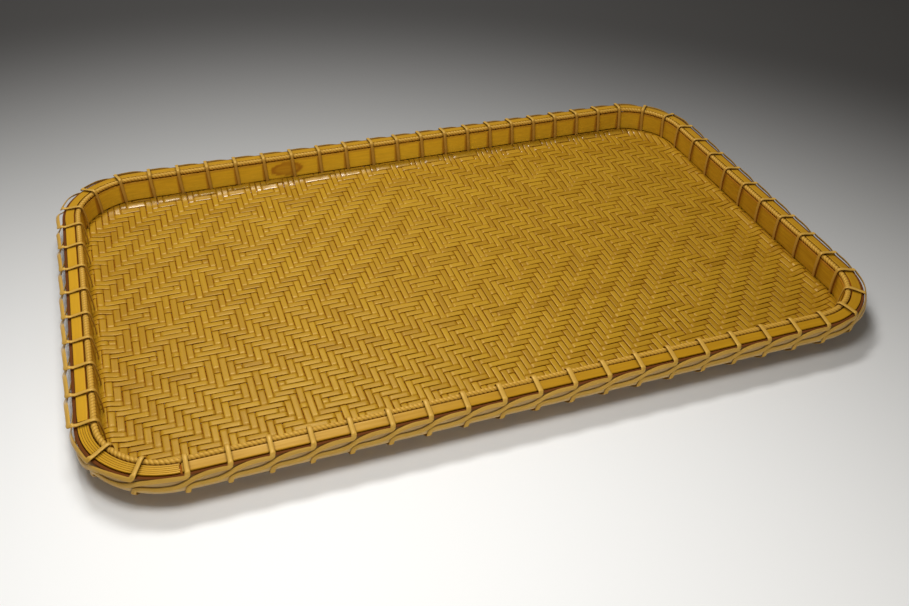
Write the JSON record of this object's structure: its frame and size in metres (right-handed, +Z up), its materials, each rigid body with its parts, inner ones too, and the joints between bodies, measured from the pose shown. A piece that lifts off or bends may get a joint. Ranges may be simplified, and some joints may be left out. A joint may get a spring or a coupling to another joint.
{
  "type": "bamboo serving tray",
  "caption": "Shallow rectangular tray with round corners: twill-woven split bamboo floor in a hooped rim, lashed with flat cane over a wound bead and flat cap strips.",
  "frame": {"origin": "on the surface the tray stands on, under the middle of the tray", "axes": "+X along the tray's long side, +Y across it, +Z up out of the tray; the side at -Y is the near side"},
  "size_m": [0.4614, 0.2883, 0.0227],
  "materials": {
    "mat": "woven split bamboo, satin, amber yellow",
    "hoop": "bent split bamboo, smooth skin, amber",
    "band": "pale bamboo ply, matt",
    "cap": "planed bamboo strip, satin, golden",
    "bead": "core wound with fine cane, ribbed, straw yellow",
    "lashing": "flat rattan cane, glossy skin, straw yellow",
    "rib": "flat split bamboo, matt"
  },
  "bodies": {
    "root": {"woven_mat": "mat", "inner_hoop": "hoop", "outer_hoop": "hoop", "outer_band": "band", "bead_cord": "bead", "cap_near": "cap", "cap_right": "cap", "cap_far": "cap", "cap_left": "cap", "cap_corner": "cap", "lashing_cane_1": "lashing", "lashing_cane_2": "lashing", "lashing_cane_3": "lashing", "lashing_cane_4": "lashing", "long_rib_near": "rib", "long_rib_far": "rib", "cross_rib_left": "rib", "cross_rib_middle": "rib", "cross_rib_right": "rib"}
  },
  "joints": []
}
